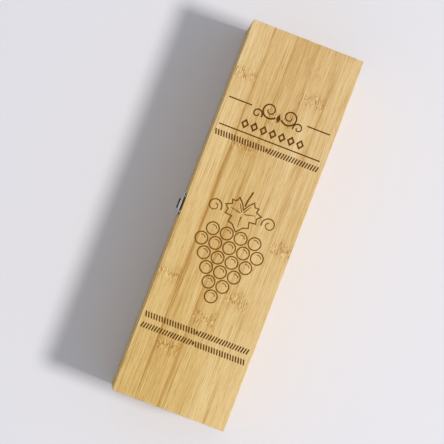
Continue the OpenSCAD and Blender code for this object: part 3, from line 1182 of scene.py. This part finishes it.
@dataclass
class WoodenBody:
    """The four walls with their finger joints, the base and the three bottle rests.

    Attributes:
        edge_radius: Rounding of the body's outer edges.
        chamfer: Width of the broken edges of each board, which also draws the joint lines.
        shortest: Length of the shortest edge that is broken.
        boards: The boards.
    """

    edge_radius: float = 0.6
    chamfer: float = 0.14
    shortest: float = 4
    boards: tuple[Board, ...] = (
        Board(
            node="front_wall",
            lay=Lay.ON_EDGE_LENGTHWISE,
            show_high=False,
            seed=11,
            # These strips are set darker than the other walls' as painted shade, because this side faces
            # away from the key light.
            strips=(
                Strip(tone=-0.03, warmth=0.5, ring=64),
                Strip(tone=-0.1, warmth=0.6, ring=158),
                Strip(tone=0.0, warmth=0.3, ring=121),
                Strip(tone=-0.08, warmth=0.7, ring=30),
                Strip(tone=-0.02, warmth=0.4, ring=92),
            ),
        ),
        Board(
            node="rear_wall",
            lay=Lay.ON_EDGE_LENGTHWISE,
            show_high=True,
            seed=23,
            strips=(
                Strip(tone=0.05, warmth=0.4, ring=141),
                Strip(tone=0.0, warmth=0.7, ring=22),
                Strip(tone=-0.05, warmth=0.4, ring=83),
                Strip(tone=0.04, warmth=0.5, ring=171),
                Strip(tone=-0.02, warmth=0.6, ring=55),
            ),
        ),
        Board(
            node="left_end_wall",
            lay=Lay.ON_EDGE_CROSSWISE,
            show_high=False,
            seed=37,
            strips=(
                Strip(tone=-0.03, warmth=0.6, ring=12),
                Strip(tone=0.04, warmth=0.4, ring=101),
                Strip(tone=0.0, warmth=0.5, ring=168),
                Strip(tone=-0.05, warmth=0.7, ring=35),
                Strip(tone=0.03, warmth=0.3, ring=140),
            ),
        ),
        Board(
            node="right_end_wall",
            lay=Lay.ON_EDGE_CROSSWISE,
            show_high=True,
            seed=41,
            strips=(
                Strip(tone=0.04, warmth=0.5, ring=175),
                Strip(tone=-0.04, warmth=0.5, ring=90),
                Strip(tone=0.02, warmth=0.7, ring=21),
                Strip(tone=0.05, warmth=0.3, ring=120),
                Strip(tone=-0.03, warmth=0.6, ring=60),
            ),
        ),
        Board(
            node="base_panel",
            lay=Lay.FLAT,
            show_high=False,
            seed=53,
            strips=(
                Strip(tone=0.02, warmth=0.4, ring=44),
                Strip(tone=-0.04, warmth=0.6, ring=130),
                Strip(tone=0.03, warmth=0.3, ring=80),
                Strip(tone=0.0, warmth=0.5, ring=170),
                Strip(tone=0.05, warmth=0.4, ring=15),
            ),
            slot="bamboo_inner",
        ),
        Board(
            node="neck_rest",
            lay=Lay.ON_EDGE_CROSSWISE,
            show_high=True,
            seed=61,
            strips=(Strip(tone=0.03, warmth=0.4, ring=20), Strip(tone=-0.02, warmth=0.5, ring=110)),
            slot="bamboo_inner",
        ),
        Board(
            node="shoulder_rest",
            lay=Lay.ON_EDGE_CROSSWISE,
            show_high=True,
            seed=67,
            strips=(Strip(tone=-0.01, warmth=0.3, ring=160), Strip(tone=0.05, warmth=0.5, ring=33)),
            slot="bamboo_inner",
        ),
        Board(
            node="foot_rest",
            lay=Lay.ON_EDGE_CROSSWISE,
            show_high=True,
            seed=71,
            strips=(Strip(tone=0.02, warmth=0.6, ring=75), Strip(tone=0.04, warmth=0.3, ring=10)),
            slot="bamboo_inner",
        ),
    )

    def build(self, frame: Mapping[str, object]) -> None:
        """Make every board of the body.

        Args:
            frame: The loaded frame.
        """
        low, high = self.outline()
        for board in self.boards:
            mesh = merged_copy(frame, board.node)
            whole_faces(mesh)
            chamfer_long_edges(mesh, self.chamfer, self.shortest)
            ease_outline(mesh, low, high, self.edge_radius * MM)
            piece = finished_piece(mesh, board.node + "_board", board.bamboo().material())
            settle(piece, "box", [board.node])

    def outline(self) -> tuple[Vector, Vector]:
        """Measure the block that the walls make up.

        Returns:
            Its lowest and its highest corner.
        """
        boxes = [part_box(board.node) for board in self.boards]
        low = Vector(min(box[0][axis] for box in boxes) for axis in range(3))
        high = Vector(max(box[1][axis] for box in boxes) for axis in range(3))
        return low, high


@dataclass
class Lid:
    """The flat lid board with the decoration burnt into it.

    Attributes:
        edge_radius: Rounding of the lid's edges.
        burn_depth: Depth of the decoration.
        burn_reach: Half the length and half the width of the area that holds it.
        board: How the lid's bamboo lies.
    """

    edge_radius: float = 0.6
    burn_depth: float = 0.4
    burn_reach: Span = (150, 51)
    board: Board = Board(
        node="lid_panel",
        lay=Lay.FLAT,
        show_high=True,
        seed=5,
        strips=(
            Strip(tone=0.0, warmth=0.5, ring=62, fade=-0.13, seam=0.1),
            Strip(tone=-0.06, warmth=0.52, ring=123, fade=-0.05, seam=0.9),
            Strip(tone=-0.07, warmth=0.42, ring=88, fade=0.01, seam=0.5),
            Strip(tone=0.01, warmth=0.26, ring=64, fade=0.05, seam=0.2),
            Strip(tone=0.09, warmth=0.16, ring=8, fade=0.03, seam=0.4),
        ),
    )

    def build(self, frame: Mapping[str, object]) -> None:
        """Make the lid.

        Args:
            frame: The loaded frame.
        """
        low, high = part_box(self.board.node)
        mesh = merged_copy(frame, self.board.node)
        ease_outline(mesh, low, high, self.edge_radius * MM)
        burn = Burn(face=high.z / MM, depth=self.burn_depth, reach=self.burn_reach)
        piece = finished_piece(mesh, "lid_board", self.board.bamboo(burn).material())
        settle(piece, "lid", [self.board.node])


@dataclass
class Hardware:
    """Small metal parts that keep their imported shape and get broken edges.

    Attributes:
        edge_width: Width of the rounding of the edges.
        edge_steps: Number of steps in that rounding.
        sharpest: Edges that turn by more than this many degrees are rounded.
        nickel: The finish of the hinge leaves, the clasp's plates and its hasp.
        steel: The finish of the pins, the screws and the nails.
        dressed: The materials that are made so far, by their slots.
    """

    edge_width: float = 0.09
    edge_steps: int = 2
    sharpest: float = 40
    nickel: Metal = Metal(
        name="nickel plate", bright=srgb(216, 213, 207), dull=srgb(192, 189, 183), smooth=0.1, rough=0.2
    )
    steel: Metal = Metal(
        name="plated steel", bright=srgb(204, 204, 203), dull=srgb(184, 182, 180), smooth=0.14, rough=0.24
    )
    dressed: dict[str, bpy.types.Material] = field(default_factory=dict)

    def finish(self, slot: str) -> bpy.types.Material:
        """Give the material of a slot, which is made once.

        Args:
            slot: The slot's name.

        Returns:
            The material.
        """
        if slot not in self.dressed:
            metal = self.nickel if slot == "nickel_plate" else self.steel
            self.dressed[slot] = metal.material()
        return self.dressed[slot]

    def make(self, frame: Mapping[str, object], node: str, body: str, slot: str) -> None:
        """Make one metal part.

        Args:
            frame: The loaded frame.
            node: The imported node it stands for.
            body: The body it moves with.
            slot: Its material slot.
        """
        mesh = merged_copy(frame, node)
        whole_faces(mesh)
        piece = finished_piece(mesh, node + "_metal", self.finish(slot))
        bevel = piece.modifiers.new("broken edges", "BEVEL")
        bevel.width = self.edge_width * MM
        bevel.segments = self.edge_steps
        bevel.limit_method = "ANGLE"
        bevel.angle_limit = math.radians(self.sharpest)
        piece.modifiers.new("no needle faces", "WELD").merge_threshold = NO_EDGE
        # The weighted normals come last, because they depend on the rounded shape.
        piece.modifiers.move(0, len(piece.modifiers) - 1)
        settle(piece, body, [node])


@dataclass
class ButtHinge:
    """One butt hinge: two leaves and the pin.

    Attributes:
        side: The end of the box it is nearer to, left or right.
        hardware: The maker of its metal parts.
    """

    side: str
    hardware: Hardware

    def build(self, frame: Mapping[str, object]) -> None:
        """Make the leaves and the pin.

        Args:
            frame: The loaded frame.
        """
        start = f"hinge_{self.side}_"
        self.hardware.make(frame, start + "body_leaf", "box", "nickel_plate")
        self.hardware.make(frame, start + "lid_leaf", "lid", "nickel_plate")
        self.hardware.make(frame, start + "pin", "box", "bright_steel")


@dataclass
class Clasp:
    """The hasp clasp on the front: lid plate, pin, hasp and catch.

    Attributes:
        hardware: The maker of its metal parts.
    """

    hardware: Hardware

    def build(self, frame: Mapping[str, object]) -> None:
        """Make the clasp.

        Args:
            frame: The loaded frame.
        """
        self.hardware.make(frame, "clasp_lid_plate", "lid", "nickel_plate")
        self.hardware.make(frame, "clasp_pin", "lid", "bright_steel")
        self.hardware.make(frame, "clasp_hasp", "hasp", "nickel_plate")
        self.hardware.make(frame, "clasp_catch_plate", "box", "nickel_plate")


@dataclass
class Fastenings:
    """The screws of the hinges and the nails of the clasp.

    Attributes:
        hardware: The maker of the metal parts.
    """

    hardware: Hardware

    def build(self, frame: Mapping[str, object]) -> None:
        """Make the screws and the nails.

        Args:
            frame: The loaded frame.
        """
        self.hardware.make(frame, "hinge_body_screws", "box", "bright_steel")
        self.hardware.make(frame, "hinge_lid_screws", "lid", "bright_steel")
        self.hardware.make(frame, "clasp_lid_nails", "lid", "bright_steel")
        self.hardware.make(frame, "clasp_catch_nails", "box", "bright_steel")


# ---------------------------------------------------------------- studio


@dataclass
class Studio:
    """A pale floor, a soft key light from behind the hinges, a pale surround, and the camera.

    Attributes:
        eye: Where the camera stands.
        aim: What it looks at.
        picture_top: The way along the floor that is up in the picture, in degrees from +X.
        lens: Focal length of the camera for a 36 mm sensor.
        sight: How far the camera sees, in metres.
        floor_half: Half the floor's size.
        floor_colour: The floor's colour.
        floor_roughness: How matt the floor is.
        floor_shine: Strength of its reflections.
        key_distance: Distance of the key light from the box.
        key_height: Its angle above the floor, in degrees.
        key_turn: The way it comes from, in degrees from +X.
        key_size: Its width.
        key_power: Its power, in watts.
        key_tint: Its colour, a little warmer than the surround.
        surround: Radiance of the surround as it lights the object, over the whole sky.
        surround_tint: Its colour.
        low_share: Share of that radiance at the horizon.
        overhead: Radiance straight above as metal mirrors it; it is 1 at the horizon.
        overhead_span: Heights, as the sine of the angle, from which it gets darker and is darkest.
        overhead_lean: How much sooner it gets darker towards +X than towards -X.
    """

    eye: Point = (79, -108, 2080)
    aim: Point = (2.9, -15.1, 100)
    picture_top: float = 200.9
    lens: float = 179.8
    sight: float = 100
    floor_half: float = 30000
    floor_colour: Colour = srgb(232, 231, 237)
    floor_roughness: float = 0.9
    floor_shine: float = 0.1
    key_distance: float = 5000
    key_height: float = 57
    key_turn: float = 90
    key_size: float = 840
    key_power: float = 157
    key_tint: Colour = (1.03, 1.0, 0.96)
    surround: float = 0.445
    surround_tint: Colour = (0.96, 1.0, 1.06)
    low_share: float = 0.4
    overhead: float = 0.05
    overhead_span: Span = (0.15, 0.7)
    overhead_lean: float = 1.2

    def build(self) -> None:
        """Make the floor, the lights and the camera."""
        self.make_floor()
        self.make_key()
        self.make_surround()
        self.make_camera()
        bpy.context.scene.view_settings.view_transform = "Standard"

    def make_floor(self) -> None:
        """Make the plain pale floor."""
        tree = ShaderTree(bpy.data.materials.new("pale floor"))
        tree.set(
            base_color=self.floor_colour,
            roughness=self.floor_roughness,
            specular_ior_level=self.floor_shine,
        )
        mesh = bmesh.new()
        bmesh.ops.create_grid(mesh, x_segments=1, y_segments=1, size=self.floor_half * MM)
        new_object(mesh, "floor", tree.owner)

    def make_key(self) -> None:
        """Make the soft lamp that throws the shadow towards the clasp's side."""
        lamp = bpy.data.lights.new("key", "AREA")
        lamp.shape = "DISK"
        lamp.size = self.key_size * MM
        lamp.energy = self.key_power
        lamp.color = self.key_tint
        key = bpy.data.objects.new("key", lamp)
        turn, height = math.radians(self.key_turn), math.radians(self.key_height)
        level = math.cos(height)
        way = Vector((math.cos(turn) * level, math.sin(turn) * level, math.sin(height)))
        key.location = way * (self.key_distance * MM)
        key.rotation_euler = way.to_track_quat("Z", "Y").to_euler()
        key.visible_camera = False
        bpy.context.scene.collection.objects.link(key)

    def make_surround(self) -> None:
        """Make the surround.

        The object gets soft light from the whole sky. To the camera and in the metal the sky is white, and
        darker overhead.
        """
        bpy.context.scene.world = bpy.data.worlds.new("surround")
        tree = ShaderTree(bpy.context.scene.world, "Background")
        seen = tree.node("ShaderNodeLightPath", {}, {}, "Is Camera Ray")
        for ray in ("Is Glossy Ray", "Is Transmission Ray"):
            seen = seen.at_least(tree.node("ShaderNodeLightPath", {}, {}, ray))
        x, _, z = tree.split(tree.node("ShaderNodeTexCoord", {}, {}, "Generated"))
        dark = (z * (x * self.overhead_lean + 1)).ramp_up(*self.overhead_span)
        shown = 1 - dark * (1 - self.overhead)
        # On a level face, light that grows with height counts for two thirds, and the whole comes to 1.
        rise = (1 - self.low_share) * 3 / 2
        light = (z.at_least(0) * rise + self.low_share) * self.surround
        colour = tree.mix(seen, self.surround_tint, (1.0, 1.0, 1.0))
        tree.set(color=colour, strength=light + seen * (shown - light))

    def make_camera(self) -> None:
        """Make the camera, looking almost straight down on the lid."""
        eye, aim = Vector(self.eye) * MM, Vector(self.aim) * MM
        turn = math.radians(self.picture_top)
        back = (eye - aim).normalized()
        right = Vector((math.cos(turn), math.sin(turn), 0)).cross(back).normalized()
        up = back.cross(right)
        lens = bpy.data.cameras.new("camera")
        lens.lens = self.lens
        lens.clip_end = self.sight
        camera = bpy.data.objects.new("camera", lens)
        camera.matrix_world = Matrix.Translation(eye) @ Matrix((right, up, back)).transposed().to_4x4()
        bpy.context.scene.collection.objects.link(camera)
        bpy.context.scene.camera = camera


def main() -> None:
    """Load the frame, and build the box and the studio around it."""
    logging.basicConfig(level=logging.INFO, format="%(message)s")
    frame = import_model()
    Studio().build()
    WoodenBody().build(frame)
    Lid().build(frame)
    hardware = Hardware()
    for side in ("left", "right"):
        ButtHinge(side, hardware).build(frame)
    Clasp(hardware).build(frame)
    Fastenings(hardware).build(frame)


if __name__ == "__main__":
    main()
